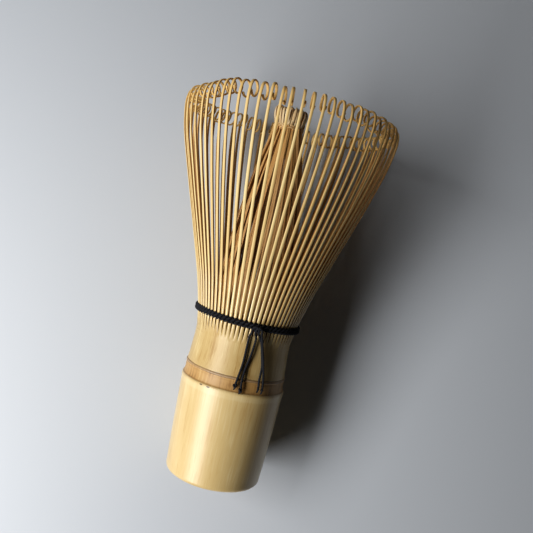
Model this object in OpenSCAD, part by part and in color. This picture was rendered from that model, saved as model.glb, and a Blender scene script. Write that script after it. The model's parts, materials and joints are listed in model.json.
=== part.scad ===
// Bamboo tea whisk. The handle's foot stands on Z = 0 and the tines point up.
// The thread is knotted at the front, towards -Y. All sizes are in millimetres.

/* [Culm] */
// Diameter of the handle just above its rounded foot
foot_d = 28.8; // [28:0.1:29.4]
// Diameter of the handle just below the growth node
handle_d = 31; // [30.4:0.1:31.2]
// Thickness of the bamboo's wall at the foot
wall = 3.4; // [3:0.1:3.6]
// Radius of the rounding at the foot
foot_round = 1.3; // [0.6:0.1:1.5]
// Height of the growth node's ridge
node_z = 29.6; // [29:0.1:30]
// Height of the band between the node's ridge and its scar line
node_h = 4; // [3.6:0.1:4.2]
// Diameter of the neck at its waist
waist_d = 28.8; // [28.4:0.1:29]

/* [Tines] */
// Height of the moving tines' roots, just above the thread
tine_z = 50.4; // [50.4:0.1:51]
// Width of an outer tine at its root
root_w = 1; // [0.8:0.05:1]
// Width of an outer tine along its length
tine_w = 0.84; // [0.7:0.02:0.9]
// Width of an outer tine at its tip
tip_w = 0.6; // [0.5:0.02:0.7]
// Thickness of an outer tine at its root
tine_t = 0.62; // [0.5:0.02:0.66]
// Thickness of an outer tine at its tip
tip_t = 0.32; // [0.28:0.02:0.4]
// Radius of the curl at the tip, to the middle of the strip
curl_r = 2.05; // [1.7:0.05:2.1]
// Width of an inner tine
inner_w = 0.56; // [0.4:0.02:0.58]
// Angle by which the gathered bundle leans towards +X
bundle_lean = -0.7; // [-1.5:0.1:1.5]

/* [Thread] */
// Height of the lower edge of the bound thread
thread_z = 47.9; // [47.8:0.1:48]
// Thickness of a bound round, which is two strands twisted together
round_d = 0.95; // [0.8:0.05:0.95]
// Thickness of a loose strand
strand_d = 0.6; // [0.5:0.05:0.6]
// Diameter of the small knots near the ends of the tails
end_knot_d = 1.3; // [1:0.1:1.4]

/* [Hidden] */
// Counts: each group of outer tines bends as one
groups = 24;
group_tines = 3;
inner_groups = 6;
inner_group_tines = 6;
tine_pitch = 360 / (groups * group_tines);
inner_pitch = 360 / (inner_groups * inner_group_tines);
fine = 96;

// Node names: the groups are numbered from 01
function two_digits(n) = n < 10 ? str("0", n) : str(n);
function numbered(word, count) = [for (n = [1:count]) str(word, two_digits(n))];

// Culm: radii and heights
foot_r = foot_d / 2;
handle_r = handle_d / 2;
bore_r = foot_r - wall;
waist_r = waist_d / 2;
ridge_r = handle_r + 0.15;
band_r = handle_r - 0.4;
scar_z = node_z + node_h;
scar_r = handle_r - 0.45;
septum_t = 2.6;
crown_z = 45.2;

// Roots: the strips below and through the thread
root_gap = 0.1;
root_top_z = tine_z - root_gap;
root_r = waist_r + 0.65;
crown_t = 0.7;
inner_root_r = bore_r + 0.5;

// Paths through the middle of a strip: each stretch is [length, turn to the axis, steps]
tine_start_r = 15.25;
tine_start_angle = 13;
tine_path = [
    [14, -5.2, 3],
    [18.9, 0, 1],
    [16, 3.2, 3],
    [9.9, 8.5, 3],
    [3.5, 20, 2],
];
curl_turn = 318;
curl_steps = 16;
curl_path = [[curl_r * curl_turn * PI / 180, curl_turn, curl_steps]];
inner_start_z = root_top_z + 0.5;
inner_start_angle = -4.5;
inner_path = [
    [32, 4, 3],
    [24, 1.8, 2],
];
inner_root_t = 0.7;
inner_tip_t = 0.45;

// Bundle, measured along its own leaning axis
core_low_z = 98;
core_low_r = 4.4;
core_r = 3.55;
bud_z = 107;
bud_top_z = 112.8;
bud_r = 5.2;
tie_z = 106.6;

// Thread: bound rounds, knot, and routes of the loose strands
round_r = root_r + round_d / 2 + 0.02;
lower_z = thread_z + round_d / 2;
upper_z = lower_z + round_d + 0.01;
inner_round_d = 0.5;
inner_round_r = root_r - crown_t - inner_round_d / 2 - 0.12;
knot_at = [3, -16.6, 48.5];
knot_d = 1.6;
left_strands = [
    [
        [2.1, -16.4, 47.2], [1.7, -15.5, 45.8], [1.7, -14.9, 43], [1.7, -15, 39],
        [1.5, -15.1, 36.4], [1.3, -15.6, 33.8], [1.3, -15.9, 32],
    ],
    [
        [3.2, -16.3, 47.1], [3.7, -15.1, 45.6], [3.6, -14.6, 43.2], [3.3, -14.7, 40.4],
        [2.9, -14.8, 38], [2.6, -15, 36.2], [2.5, -15.5, 33.8], [2.7, -15.7, 31.4],
    ],
];
right_strands = [
    [
        [4.1, -15.9, 47.1], [5, -14.8, 45.6], [5.6, -13.9, 43.6], [6.4, -13.5, 40.6],
        [7, -13.4, 38], [7.1, -13.7, 35.8], [7.2, -14, 33.8], [7.4, -14.1, 32.2],
    ],
    [
        [4.8, -15.5, 47.2], [5.8, -14.5, 45.4], [6.5, -13.6, 43], [7.2, -13.1, 40.2],
        [7.8, -12.9, 37.6], [8.1, -13.1, 35.4], [8.4, -13.4, 33.6], [8.6, -13.4, 31.8],
    ],
];
strand_sides = 8;

// A path as short steps, each [length, angle from +Z outwards]
function steps_of(path, angle, n = 0) =
    n == len(path) ? [] :
    let (stretch = path[n], count = stretch[2])
    concat(
        [for (i = [0:count - 1]) [stretch[0] / count, angle - stretch[1] * (i + 0.5) / count]],
        steps_of(path, angle - stretch[1], n + 1)
    );

// Points [radius, height] reached by walking the steps from a start
function walk(steps, at, n = 0) =
    n == len(steps) ? [at] :
    concat([at], walk(steps, at + steps[n][0] * [sin(steps[n][1]), cos(steps[n][1])], n + 1));

// Outline of a strip that follows the steps and thins evenly from one thickness to another
function strip_outline(steps, start, thick, thin) =
    let (
        points = walk(steps, start),
        last = len(points) - 1,
        turns = [for (i = [0:last]) (steps[max(i - 1, 0)][1] + steps[min(i, last - 1)][1]) / 2],
        half = [for (i = [0:last]) (thick + (thin - thick) * i / last) / 2],
        outward = [for (i = [0:last]) half[i] * [cos(turns[i]), -sin(turns[i])]]
    )
    concat(
        [for (i = [0:last]) points[i] + outward[i]],
        [for (i = [last:-1:0]) points[i] - outward[i]]
    );

// One strip standing in the plane of X and Z, with a front outline of [width, height] pairs
module strip(outline, widths) {
    intersection() {
        rotate([90, 0, 0])
            linear_extrude(height = 2, center = true)
                polygon(outline);
        rotate([90, 0, 90])
            linear_extrude(height = 40)
                polygon(concat(
                    [for (w = widths) [-w[0] / 2, w[1]]],
                    [for (i = [len(widths) - 1:-1:0]) [widths[i][0] / 2, widths[i][1]]]
                ));
    }
}

// Ring of round section
module ring(ring_r, section_d) {
    rotate_extrude($fn = fine)
        translate([ring_r, 0])
            circle(d = section_d, $fn = 24);
}

// Tube swept along a route, with rounds of points square to it
function unit(v) = v / norm(v);
function way(route, i) = unit(route[min(i + 1, len(route) - 1)] - route[max(i - 1, 0)]);
function round_points(at, along, d) =
    let (side = unit(cross(along, [0, -1, 0.2])), front = cross(side, along))
    [for (k = [0:strand_sides - 1])
        let (a = 360 * k / strand_sides)
        at + d / 2 * (side * cos(a) + front * sin(a))];
function halved(route) = concat(
    [for (i = [0:len(route) - 2]) for (p = [route[i], curve_middle(route, i)]) p],
    [route[len(route) - 1]]
);
function curve_middle(route, i) =
    let (before = route[max(i - 1, 0)], after = route[min(i + 2, len(route) - 1)])
    (9 * (route[i] + route[i + 1]) - before - after) / 16;
module tube(route, d) {
    rounds = len(route);
    n = strand_sides;
    polyhedron(
        points = [for (i = [0:rounds - 1]) each round_points(route[i], way(route, i), d)],
        faces = concat(
            [[for (k = [0:n - 1]) k]],
            [for (i = [0:rounds - 2]) for (k = [0:n - 1])
                [i * n + k, (i + 1) * n + k, (i + 1) * n + (k + 1) % n, i * n + (k + 1) % n]],
            [[for (k = [n - 1:-1:0]) (rounds - 1) * n + k]]
        )
    );
}

// The lower internode: an open tube with a rounded foot
module handle() {
    color("#dcbc7c")
    rotate_extrude($fn = fine)
        difference() {
            polygon([
                [bore_r, 0], [foot_r - foot_round, 0], [foot_r, foot_round],
                [foot_r + 0.7, node_z / 2], [handle_r, node_z - 2.5], [ridge_r, node_z - 0.6],
                [ridge_r, node_z], [bore_r, node_z],
            ]);
            // Rounds the foot
            difference() {
                translate([foot_r - foot_round, -1])
                    square([foot_round + 1, foot_round + 1]);
                translate([foot_r - foot_round, foot_round])
                    circle(r = foot_round, $fn = 32);
            }
            // Eases the bore's lower edge
            polygon([[bore_r - 0.1, -0.1], [bore_r + 0.6, -0.1], [bore_r - 0.1, 0.6]]);
        }
}

// The growth node: a recessed band under a raised scar line
module node_band() {
    color("#b9854a")
    rotate_extrude($fn = fine)
        polygon([
            [bore_r, node_z], [band_r - 0.1, node_z], [band_r, node_z + 0.8],
            [band_r, scar_z - 0.9], [scar_r, scar_z - 0.6], [scar_r, scar_z],
            [bore_r, scar_z],
        ]);
}

// The partition that closes the culm at its growth node
module septum() {
    color("#c9a468")
    translate([0, 0, node_z + (node_h - septum_t) / 2])
        cylinder(r = bore_r, h = septum_t, $fn = fine);
}

// The upper internode, scraped down to a waist
module neck() {
    color("#dcbb7a")
    rotate_extrude($fn = fine)
        polygon([
            [bore_r, scar_z], [scar_r - 0.15, scar_z], [waist_r + 0.35, scar_z + 2],
            [waist_r + 0.1, 39], [waist_r, 42], [waist_r + 0.15, crown_z],
            [bore_r, crown_z],
        ]);
}

// The outer tines' roots: strips that stand on the neck and are drawn in by the thread
module outer_roots() {
    outline = [
        [waist_r - 0.72, crown_z], [waist_r + 0.15, crown_z], [waist_r + 0.38, 46.8],
        [root_r, thread_z], [root_r, 49.85], [root_r + 0.35, root_top_z],
        [root_r - crown_t + 0.35, root_top_z], [root_r - crown_t, 49.6],
        [root_r - crown_t, 47.4],
    ];
    color("#e2c68a")
    for (i = [1:groups * group_tines])
        rotate([0, 0, tine_pitch * (i - 0.5)])
            strip(outline, [
                [1.15, crown_z], [1.15, crown_z + 0.3], [root_w - 0.06, crown_z + 2.4],
                [root_w - 0.06, root_top_z],
            ]);
}

// The inner tines' roots: strips split from the inner layer of the wall
module inner_roots() {
    outline = [
        [bore_r + 0.05, crown_z], [bore_r + 1.1, crown_z],
        [inner_root_r + inner_root_t / 2, root_top_z],
        [inner_root_r - inner_root_t / 2, root_top_z],
    ];
    color("#d8b070")
    for (i = [1:inner_groups * inner_group_tines])
        rotate([0, 0, inner_pitch * (i - 0.5)])
            strip(outline, [
                [1.85, crown_z], [1.85, crown_z + 0.3], [inner_w + 0.4, crown_z + 3],
                [inner_w + 0.4, root_top_z],
            ]);
}

// Outer tines: each a strip that leans out, bends back at its shoulder and curls in at its tip
module outer_tines(group) {
    steps = steps_of(concat(tine_path, curl_path), tine_start_angle);
    outline = strip_outline(steps, [tine_start_r, tine_z + 0.08], tine_t, tip_t);
    color("#e8cf96")
    for (i = [0:group_tines - 1])
        rotate([0, 0, tine_pitch * (group_tines * (group - 1) + i + 0.5)])
            strip(outline, [
                [root_w, tine_z - 1], [root_w, tine_z], [tine_w, tine_z + 9],
                [tine_w, 90], [tip_w, 108], [tip_w, 114],
            ]);
}

// Leans the bundle about the middle of its root
module lean() {
    translate([0, 0, inner_start_z])
        rotate([0, bundle_lean, 0])
            translate([0, 0, -inner_start_z])
                children();
}

// Inner tines: each a strip that bows slightly and leans in to the bundle
module inner_tines(group) {
    steps = steps_of(inner_path, inner_start_angle);
    outline = strip_outline(steps, [inner_root_r, inner_start_z], inner_root_t, inner_tip_t);
    color("#c99a5c")
    lean()
        for (i = [0:inner_group_tines - 1])
            rotate([0, 0, inner_pitch * (inner_group_tines * (group - 1) + i + 0.5)])
                strip(outline, [
                    [inner_w + 0.3, inner_start_z - 1], [inner_w + 0.3, inner_start_z + 4],
                    [inner_w, 80], [inner_w, 106],
                ]);
}

// The middle of the bundle, where the inner tines' ends are packed side by side
module bundle_core() {
    color("#b98a50")
    lean()
        rotate_extrude($fn = 48)
            polygon([
                [0, core_low_z], [core_low_r, core_low_z], [core_r, bud_z - 1],
                [core_r, bud_z], [0, bud_z],
            ]);
}

// The tips above the tie, which spread like a bud and fold over inwards
module bundle_tips() {
    fold = 1.3;
    color("#cfa062")
    lean()
        rotate_extrude($fn = 48)
            polygon(concat(
                [[0, bud_z], [core_r + 0.35, bud_z], [bud_r - 0.3, bud_z + 2.4]],
                [for (a = [0:22.5:90])
                    [bud_r - fold + fold * cos(a), bud_top_z - fold + fold * sin(a)]],
                [[bud_r - 2 * fold, bud_top_z - 0.8], [0, bud_top_z - 1.6]]
            ));
}

// Slivers of bamboo that cross round the bundle under the bud
module bundle_slivers() {
    color("#d9ae6c")
    lean()
        for (i = [0:1])
            translate([0, 0, tie_z - 0.5 * i])
                ring(4.55, 0.45);
}

// The lower round of the binding
module thread_lower() {
    color("#16161f")
    translate([0, 0, lower_z])
        ring(round_r, round_d);
}

// The upper round of the binding
module thread_upper() {
    color("#16161f")
    translate([0, 0, upper_z])
        ring(round_r, round_d);
}

// The part of the thread that passes behind the outer tines
module thread_inner() {
    color("#16161f")
    translate([0, 0, 48.6])
        ring(inner_round_r, inner_round_d);
}

// The knot, tied over the binding at the front
module thread_knot() {
    color("#16161f")
    translate(knot_at)
        sphere(d = knot_d, $fn = 32);
}

// The two strands of one tail
module thread_tails_left() {
    color("#16161f")
    for (route = left_strands)
        tube(halved(route), strand_d);
}

// The two strands of the other tail
module thread_tails_right() {
    color("#16161f")
    for (route = right_strands)
        tube(halved(route), strand_d);
}

// The small knots near the tails' ends
module tail_knots() {
    color("#16161f")
    for (route = concat(left_strands, right_strands))
        translate(route[len(route) - 1] + [0, 0, -end_knot_d / 2 - 0.1])
            sphere(d = end_knot_d, $fn = 24);
}

handle();
node_band();
septum();
neck();
outer_roots();
inner_roots();
for (n = [1:groups])
    outer_tines(n);
for (n = [1:inner_groups])
    inner_tines(n);
bundle_core();
bundle_tips();
bundle_slivers();
thread_lower();
thread_upper();
thread_inner();
thread_knot();
thread_tails_left();
thread_tails_right();
tail_knots();
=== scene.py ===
"""Looks of a bamboo tea whisk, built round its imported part.

The whisk stands upright: the middle of its foot is at the origin, the tines point
up, and the thread is knotted at the front, towards -Y. Lengths in the classes are in
millimetres, and every mesh is in metres.
"""

import json
import logging
import math
from dataclasses import dataclass, field
from enum import Enum
from typing import Any, Callable, Sequence

import bpy
import numpy as np
from mathutils import Matrix, Vector

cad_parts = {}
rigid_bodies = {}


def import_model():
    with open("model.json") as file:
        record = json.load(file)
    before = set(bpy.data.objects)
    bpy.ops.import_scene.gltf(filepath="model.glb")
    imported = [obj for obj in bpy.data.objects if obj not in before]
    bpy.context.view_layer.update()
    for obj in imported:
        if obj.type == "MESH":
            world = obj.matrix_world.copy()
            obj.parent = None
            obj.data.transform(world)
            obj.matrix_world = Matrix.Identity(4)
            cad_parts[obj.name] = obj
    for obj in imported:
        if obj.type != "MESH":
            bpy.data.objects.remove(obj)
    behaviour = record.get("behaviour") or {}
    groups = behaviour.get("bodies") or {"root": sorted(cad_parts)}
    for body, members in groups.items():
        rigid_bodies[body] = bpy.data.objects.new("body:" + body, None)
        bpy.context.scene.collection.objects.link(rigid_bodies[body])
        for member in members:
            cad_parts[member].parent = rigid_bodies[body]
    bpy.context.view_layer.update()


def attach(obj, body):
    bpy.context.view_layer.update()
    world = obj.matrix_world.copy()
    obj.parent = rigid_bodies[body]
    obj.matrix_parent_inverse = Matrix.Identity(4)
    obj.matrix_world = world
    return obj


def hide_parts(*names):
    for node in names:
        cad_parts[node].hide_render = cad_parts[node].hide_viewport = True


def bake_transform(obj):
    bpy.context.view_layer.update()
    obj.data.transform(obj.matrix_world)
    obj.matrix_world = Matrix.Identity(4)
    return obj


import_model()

LOG = logging.getLogger("whisk")
MM = 0.001
TINE_GROUPS = 24
TINES_IN_GROUP = 3
TINE_PITCH = math.tau / (TINE_GROUPS * TINES_IN_GROUP)
INNER_GROUPS = 6
INNER_IN_GROUP = 6
INNER_PITCH = math.tau / (INNER_GROUPS * INNER_IN_GROUP)
# How far the gathered inner tines lean towards +X for each millimetre of height.
INNER_LEAN = -0.0122
INNER_ROOT = 50.8

Profile = Sequence[tuple[float, float]]
Route = tuple[tuple[float, float, float], ...]
Piece = bpy.types.Object
Socket = bpy.types.NodeSocket


class Slot(Enum):
    """The record's material slots."""

    HANDLE = "bamboo_polished"
    NODE = "bamboo_node"
    INSIDE = "bamboo_inside"
    NECK = "bamboo_scraped"
    TINES = "bamboo_tines"
    INNER = "bamboo_inner_tines"
    THREAD = "cotton_thread"


class Cut(Enum):
    """Which part of a strip a face belongs to, as the value of its "split" attribute."""

    SKIN = 0.0
    INNER = 0.55
    SIDE = 1.0


# ---------------------------------------------------------------- nodes


def linear(colour: str) -> tuple[float, float, float, float]:
    """Turns an sRGB hex colour into linear RGBA.

    Args:
        colour: Six hex digits after a hash sign.

    Returns:
        Red, green, blue and an alpha of 1, as shaders want them.
    """
    parts = [int(colour[i : i + 2], 16) / 255 for i in (1, 3, 5)]
    low = [c / 12.92 if c <= 0.04045 else ((c + 0.055) / 1.055) ** 2.4 for c in parts]
    return (low[0], low[1], low[2], 1.0)


def add_node(
    tree: bpy.types.NodeTree, kind: str, inputs: dict[int | str, Any], **settings: Any
) -> bpy.types.Node:
    """Adds a node with its settings and inputs.

    Args:
        tree: The tree that gets the node.
        kind: The node's type name.
        inputs: Input name or number, and the output that feeds it or its own value.
        **settings: The node's own properties.

    Returns:
        The new node.
    """
    node = tree.nodes.new(kind)
    for name, value in settings.items():
        setattr(node, name, value)
    for key, value in inputs.items():
        if isinstance(value, Socket):
            tree.links.new(value, node.inputs[key])
        else:
            node.inputs[key].default_value = value
    return node


class Wiring:
    """A node tree, with a method for each sort of node that it uses often."""

    def __init__(self, tree: bpy.types.NodeTree) -> None:
        """Empties the tree."""
        self.tree = tree
        tree.nodes.clear()

    def add(
        self, kind: str, inputs: dict[int | str, Any], out: int | str = 0, **settings: Any
    ) -> Socket:
        """Adds any node.

        Args:
            kind: The node's type name.
            inputs: Input name or number, and its feed or value.
            out: Which output is wanted.
            **settings: The node's own properties.

        Returns:
            That output.
        """
        return add_node(self.tree, kind, inputs, **settings).outputs[out]

    def math(self, operation: str, *inputs: Any, **settings: Any) -> Socket:
        """Works a sum on numbers."""
        given = dict(enumerate(inputs))
        return self.add("ShaderNodeMath", given, operation=operation, **settings)

    def vector(self, operation: str, inputs: dict[int | str, Any], out: int | str = 0) -> Socket:
        """Works a sum on vectors."""
        return self.add("ShaderNodeVectorMath", inputs, out, operation=operation)

    def fit(self, value: Socket, *ends: float, ease: str = "LINEAR") -> Socket:
        """Maps a value from the range of the first two ends to that of the last two."""
        given = {0: value, **dict(enumerate(ends, 1))}
        return self.add("ShaderNodeMapRange", given, interpolation_type=ease)

    def mix(self, share: Socket, first: Any, second: Any) -> Socket:
        """Mixes two colours."""
        given = {0: share, 6: first, 7: second}
        return self.add("ShaderNodeMix", given, 2, data_type="RGBA")

    def noise(self, where: Socket, scale: float, detail: float, rough: float = 0.5) -> Socket:
        """Adds noise, as numbers from 0 to 1."""
        given = {"Vector": where, "Scale": scale, "Detail": detail, "Roughness": rough}
        return self.add("ShaderNodeTexNoise", given)

    def bump(self, height: Socket, strength: float, deep: float) -> Socket:
        """Raises the surface by a height, of which 1 is so many millimetres deep."""
        given = {"Height": height, "Strength": strength, "Distance": deep * MM}
        return self.add("ShaderNodeBump", given)

    def stretch(self, where: Socket, rise: float) -> Socket:
        """Scales coordinates along Z, so that a pattern is drawn out."""
        return self.add("ShaderNodeMapping", {"Vector": where, "Scale": (1.0, 1.0, rise)})

    def ramp(self, share: Socket, stops: Sequence[tuple[float, str]]) -> Socket:
        """Turns a share into a colour.

        Args:
            share: A number from 0 to 1.
            stops: Places and hex colours.

        Returns:
            The colour.
        """
        node = add_node(self.tree, "ShaderNodeValToRGB", {0: share})
        elements = node.color_ramp.elements
        while len(elements) < len(stops):
            elements.new(0.5)
        for element, (place_at, colour) in zip(elements, stops):
            element.position, element.color = place_at, linear(colour)
        return node.outputs[0]

    def attribute(self, name: str) -> Socket:
        """Reads a mesh attribute in a material."""
        given = {"attribute_name": name, "attribute_type": "GEOMETRY"}
        return self.add("ShaderNodeAttribute", {}, "Fac", **given)

    def position(self) -> Socket:
        """Reads a material's object coordinates."""
        return self.add("ShaderNodeTexCoord", {}, "Object")

    def surface(self, **inputs: Any) -> None:
        """Ends a material with a Principled shader.

        Args:
            **inputs: Its inputs, named with underscores for spaces.
        """
        given = {key.replace("_", " "): value for key, value in inputs.items()}
        shader = self.add("ShaderNodeBsdfPrincipled", given)
        self.add_end("ShaderNodeOutputMaterial", {"Surface": shader})

    def add_end(self, kind: str, inputs: dict[int | str, Any]) -> None:
        """Adds a node that ends the tree."""
        add_node(self.tree, kind, inputs)

    def chance(self, index: Socket, seed: Socket, low: float) -> Socket:
        """Draws a number up to 1 for each element."""
        given = {2: low, 3: 1.0, 7: index, 8: seed}
        return self.add("FunctionNodeRandomValue", given, 1, data_type="FLOAT")

    def store(self, flow: Socket, name: str, value: Socket) -> Socket:
        """Keeps a number on each instance.

        Args:
            flow: The instances.
            name: The name that the number is kept under.
            value: The number.

        Returns:
            The instances with the number.
        """
        given = {"Geometry": flow, "Value": value, "Name": name}
        wanted = {"data_type": "FLOAT", "domain": "INSTANCE"}
        return self.add("GeometryNodeStoreNamedAttribute", given, **wanted)

    def stored(self, name: str) -> Socket:
        """Reads a kept number in a geometry tree."""
        return self.add("GeometryNodeInputNamedAttribute", {"Name": name}, data_type="FLOAT")

    def end_shape(self, flow: Socket, finish: Socket) -> None:
        """Gives a shape its finish and ends the geometry tree."""
        dressed = self.add("GeometryNodeSetMaterial", {"Geometry": flow, "Material": finish})
        self.add_end("NodeGroupOutput", {0: dressed})


def new_material(name: str) -> tuple[bpy.types.Material, Wiring]:
    """Makes an empty material.

    Args:
        name: The material's name.

    Returns:
        The material and the wiring of its tree.
    """
    material = bpy.data.materials.new(name)
    material.use_nodes = True
    return material, Wiring(material.node_tree)


# ---------------------------------------------------------------- shapes


def smooth_step(low: float, high: float, value: float) -> float:
    """Eases from 0 at low to 1 at high."""
    share = min(1.0, max(0.0, (value - low) / (high - low)))
    return share * share * (3 - 2 * share)


def spline(points: Sequence[Sequence[float]], step: float) -> list[Vector]:
    """Draws one smooth curve through points.

    Args:
        points: The points, in order.
        step: About how far apart the curve's own points lie.

    Returns:
        Points along the curve, its first and last being those given.
    """
    way = [Vector(p) for p in points]
    padded = [2 * way[0] - way[1], *way, 2 * way[-1] - way[-2]]
    drawn: list[Vector] = []
    for a, b, c, d in zip(padded, padded[1:], padded[2:], padded[3:]):
        count = max(2, round((c - b).length / step))
        for i in range(count):
            t = i / count
            square = (2 * a - 5 * b + 4 * c - d) * t**2
            cube = (3 * b - a - 3 * c + d) * t**3
            drawn.append(0.5 * (2 * b + (c - a) * t + square + cube))
    return [*drawn, way[-1]]


def rounded(profile: Profile, step: float) -> list[tuple[float, float]]:
    """Draws a smooth outline through profile points."""
    return [(p.x, p.y) for p in spline([(r, z) for r, z in profile], step)]


def smooth(mesh: bpy.types.Mesh, sharp_over: float = 42.0) -> None:
    """Shades a mesh smooth, apart from edges that turn by more than some degrees."""
    mesh.shade_smooth()
    mesh.set_sharp_from_angle(angle=math.radians(sharp_over))


def make_piece(
    name: str,
    points: Sequence[Sequence[float]],
    faces: Sequence[Sequence[int]],
    point_values: dict[str, Sequence[float]] | None = None,
    face_values: dict[str, Sequence[float]] | None = None,
    linked: bool = True,
) -> Piece:
    """Makes an object from points in millimetres.

    Args:
        name: The object's name.
        points: Its vertices, in millimetres.
        faces: Its faces, counter-clockwise from outside.
        point_values: Attributes with a value for each vertex.
        face_values: Attributes with a value for each face.
        linked: Whether it is put in the scene.

    Returns:
        The object, at the origin, with its size in metres.
    """
    mesh = bpy.data.meshes.new(name)
    mesh.from_pydata([tuple(c * MM for c in p) for p in points], [], faces)
    for domain, given in (("POINT", point_values), ("FACE", face_values)):
        for key, numbers in (given or {}).items():
            mesh.attributes.new(key, "FLOAT", domain).data.foreach_set("value", list(numbers))
    smooth(mesh)
    piece = bpy.data.objects.new(name, mesh)
    if linked:
        bpy.context.scene.collection.objects.link(piece)
    return piece


def place(
    piece: Piece, slot: Slot, nodes: Sequence[str], finish: bpy.types.Material | None = None
) -> Piece:
    """Lets a piece ride on the whisk's body, in the place of CAD nodes.

    Args:
        piece: The finished piece.
        slot: The material slot it takes its finish from. Not used.
        nodes: The CAD nodes that it stands for.
        finish: Its material, if it has none yet.

    Returns:
        The same piece.
    """
    if finish:
        piece.data.materials.append(finish)
    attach(piece, "whisk")
    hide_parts(*nodes)
    LOG.info("%s: %d faces, rides on whisk", piece.name, len(piece.data.polygons))
    return piece


def joined_rows(count: int, around: int, ends: str = "open") -> list[tuple[int, ...]]:
    """Joins rows of points into quads.

    Args:
        count: How many rows there are.
        around: How many points each row has, going round.
        ends: "open", "capped", or "closed" where the last row joins the first.

    Returns:
        The faces.
    """
    faces: list[tuple[int, ...]] = []
    for row in range(count if ends == "closed" else count - 1):
        low, high = row * around, (row + 1) % count * around
        for k in range(around):
            after = (k + 1) % around
            faces.append((low + k, low + after, high + after, high + k))
    if ends == "capped":
        last = (count - 1) * around
        faces += [tuple(reversed(range(around))), tuple(range(last, last + around))]
    return faces


def revolve(
    name: str, outside: Profile, inside: Profile, wave: Callable[[float, float], float]
) -> Piece:
    """Turns a closed profile round Z into a ring-shaped solid.

    Args:
        name: The object's name.
        outside: Radius and height of each point, going up the outside.
        inside: The same, going down inside.
        wave: What the outer radius gains at an angle and height, in millimetres.

    Returns:
        The object, with a "cut" attribute on its faces.
    """
    around = 192
    points: list[tuple[float, float, float]] = []
    for k in range(around):
        angle = math.tau * k / around
        rows = [(r + wave(angle, z), z) for r, z in outside] + list(inside)
        points += [(r * math.cos(angle), r * math.sin(angle), z) for r, z in rows]
    n = len(outside) + len(inside)
    faces = [
        (k * n + i, (k + 1) % around * n + i, (k + 1) % around * n + j, k * n + j)
        for k in range(around)
        for i, j in zip(range(n), [*range(1, n), 0])
    ]
    cut = [0.0 if i < len(outside) - 1 else 1.0 for i in range(n)] * around
    return make_piece(name, points, faces, face_values={"cut": cut})


def tube(
    name: str,
    way: Sequence[Vector],
    outline: Callable[[float, float], float],
    around: int,
    closed: bool = False,
) -> Piece:
    """Sweeps a round outline along a way.

    Args:
        name: The object's name.
        way: Points along its middle, in millimetres.
        outline: The radius at a distance along the way and an angle round it.
        around: How many points the outline has.
        closed: Whether the end of the way joins its start.

    Returns:
        The object, with "along" in millimetres and "around" in turns on its points.
    """
    count = len(way)
    points: list[Vector] = []
    values: dict[str, list[float]] = {"along": [], "around": []}
    side = Vector((0.0, -1.0, 0.2))
    travelled = 0.0
    for i, at in enumerate(way):
        after = way[(i + 1) % count] if closed else way[min(i + 1, count - 1)]
        before = way[i - 1] if closed else way[max(i - 1, 0)]
        direction = (after - before).normalized()
        side = (side - side.dot(direction) * direction).normalized()
        other = direction.cross(side)
        travelled += (at - way[i - 1]).length if i else 0.0
        for k in range(around):
            angle = math.tau * k / around
            radius = outline(travelled, angle)
            points.append(at + radius * (side * math.cos(angle) + other * math.sin(angle)))
            values["along"].append(travelled)
            values["around"].append(k / around)
    faces = joined_rows(count, around, "closed" if closed else "capped")
    return make_piece(name, points, faces, point_values=values)


def join(name: str, parts: Sequence[Piece], loose: bool = False) -> Piece:
    """Joins objects into one.

    Args:
        name: The name of the joined object.
        parts: The objects, in the scene or out of it.
        loose: Whether the joined object is taken out of the scene.

    Returns:
        The joined object.
    """
    scene = bpy.context.scene.collection.objects
    for part in parts:
        if part.name not in scene:
            scene.link(part)
    chosen = {"active_object": parts[0], "selected_editable_objects": list(parts)}
    with bpy.context.temp_override(**chosen):
        bpy.ops.object.join()
    parts[0].name = parts[0].data.name = name
    if loose:
        scene.unlink(parts[0])
    return parts[0]


def collect(name: str, shapes: Sequence[Piece]) -> bpy.types.Collection:
    """Puts loose shapes in a collection that isn't in the scene.

    Args:
        name: The collection's name.
        shapes: The shapes, in the order in which trees pick them.

    Returns:
        The collection.
    """
    collection = bpy.data.collections.new(name)
    for shape in shapes:
        collection.objects.link(shape)
    return collection


def walk(
    start: tuple[float, float], angle: float, stretches: Sequence[tuple[float, float, int]]
) -> list[tuple[float, float]]:
    """Walks a path in the plane of radius and height.

    Args:
        start: Radius and height where it starts.
        angle: Its first direction, in degrees from +Z outwards.
        stretches: Length, turn towards the axis and number of steps of each stretch.

    Returns:
        The points it passes, without the first.
    """
    radius, height = start
    points = []
    for length, turn, steps in stretches:
        for i in range(steps):
            lean = math.radians(angle - turn * (i + 0.5) / steps)
            radius += length / steps * math.sin(lean)
            height += length / steps * math.cos(lean)
            points.append((radius, height))
        angle -= turn
    return points


# ---------------------------------------------------------------- camera, light, table


@dataclass(frozen=True)
class Viewpoint:
    """The camera: just in front of the thread, rolled so that the whisk leans right."""

    place: tuple[float, float, float] = (0.0, -189.18, 74.75)
    right: tuple[float, float, float] = (0.9745, 0.0002, 0.2242)
    forward: tuple[float, float, float] = (0.0114, 0.9987, -0.0506)
    lens: float = 42.52
    sensor: float = 36.0
    sees_from: float = 1.0
    sees_to: float = 5000.0

    def build(self) -> None:
        """Makes the scene's camera."""
        data = bpy.data.cameras.new("viewpoint")
        data.lens = self.lens
        data.sensor_width = self.sensor
        data.clip_start, data.clip_end = self.sees_from * MM, self.sees_to * MM
        camera = bpy.data.objects.new("viewpoint", data)
        forward = Vector(self.forward).normalized()
        right = Vector(self.right)
        right = (right - right.dot(forward) * forward).normalized()
        turn = Matrix((right, right.cross(forward), -forward)).transposed().to_4x4()
        camera.matrix_world = Matrix.Translation(Vector(self.place) * MM) @ turn
        bpy.context.scene.collection.objects.link(camera)
        bpy.context.scene.camera = camera


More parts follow.
